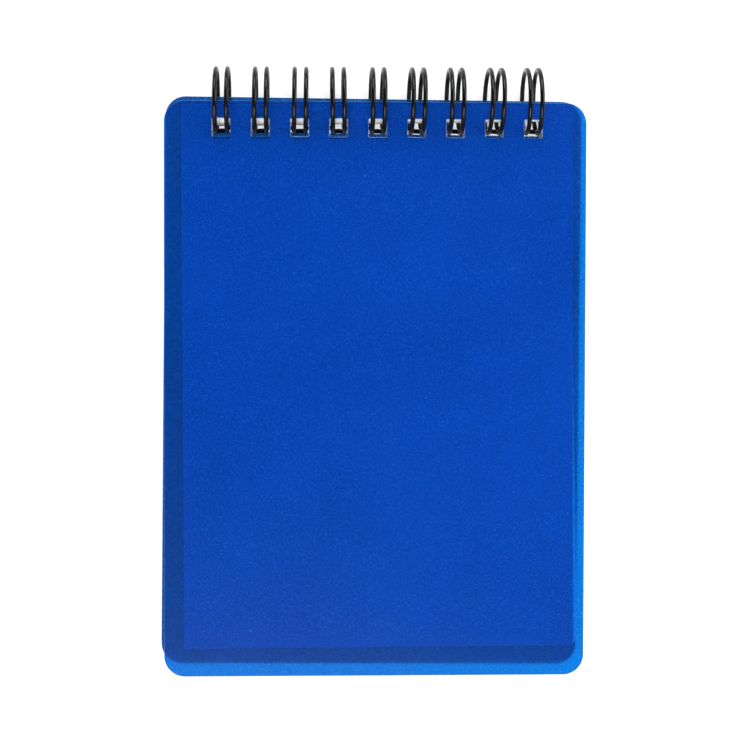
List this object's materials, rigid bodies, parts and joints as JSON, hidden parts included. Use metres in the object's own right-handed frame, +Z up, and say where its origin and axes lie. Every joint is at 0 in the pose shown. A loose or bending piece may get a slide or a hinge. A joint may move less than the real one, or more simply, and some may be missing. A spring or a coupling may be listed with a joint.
{
  "type": "pocket notebook",
  "caption": "Top-bound pocket notebook: translucent blue plastic covers and loose white leaves hung on black twin-loop wire.",
  "frame": {"origin": "centre of the bounding box's underside, on the surface that the notebook lies on", "axes": "+X along the binding, +Y from the foot of the covers towards the wire loops, +Z up through the front cover"},
  "size_m": [0.0932, 0.1327, 0.0146],
  "materials": {
    "cover_plastic": "frosted translucent polypropylene sheet, fine grain",
    "coated_wire": "smooth black coated steel wire",
    "paper": "smooth uncoated white writing paper"
  },
  "bodies": {
    "binding": {"wire_binding": "coated_wire", "back_cover": "cover_plastic"},
    "lower_leaves": {"leaf_21": "paper", "leaf_22": "paper", "leaf_23": "paper", "leaf_24": "paper", "leaf_25": "paper", "leaf_26": "paper", "leaf_27": "paper", "leaf_28": "paper", "leaf_29": "paper", "leaf_30": "paper", "leaf_31": "paper", "leaf_32": "paper", "leaf_33": "paper", "leaf_34": "paper", "leaf_35": "paper", "leaf_36": "paper", "leaf_37": "paper", "leaf_38": "paper", "leaf_39": "paper", "leaf_40": "paper", "leaf_41": "paper", "leaf_42": "paper", "leaf_43": "paper", "leaf_44": "paper", "leaf_45": "paper", "leaf_46": "paper", "leaf_47": "paper", "leaf_48": "paper", "leaf_49": "paper", "leaf_50": "paper"},
    "upper_leaves": {"leaf_02": "paper", "leaf_03": "paper", "leaf_04": "paper", "leaf_05": "paper", "leaf_06": "paper", "leaf_07": "paper", "leaf_08": "paper", "leaf_09": "paper", "leaf_10": "paper", "leaf_11": "paper", "leaf_12": "paper", "leaf_13": "paper", "leaf_14": "paper", "leaf_15": "paper", "leaf_16": "paper", "leaf_17": "paper", "leaf_18": "paper", "leaf_19": "paper", "leaf_20": "paper"},
    "first_leaf": {"leaf_01": "paper"},
    "front_cover": {"front_cover": "cover_plastic"}
  },
  "joints": [
    {"name": "lower_leaves_turn", "type": "hinge", "parent": "binding", "child": "lower_leaves", "pos_m": [0, 0.05906, 0.0073], "axis": [1, 0, 0], "range_deg": [-20, 0]},
    {"name": "upper_leaves_turn", "type": "hinge", "parent": "lower_leaves", "child": "upper_leaves", "pos_m": [0, 0.05906, 0.0073], "axis": [1, 0, 0], "range_deg": [-10, 0]},
    {"name": "first_leaf_turn", "type": "hinge", "parent": "upper_leaves", "child": "first_leaf", "pos_m": [0, 0.05906, 0.0073], "axis": [1, 0, 0], "range_deg": [-20, 0]},
    {"name": "front_cover_open", "type": "hinge", "parent": "first_leaf", "child": "front_cover", "pos_m": [0, 0.05906, 0.0073], "axis": [-1, 0, 0], "range_deg": [0, 180]}
  ]
}
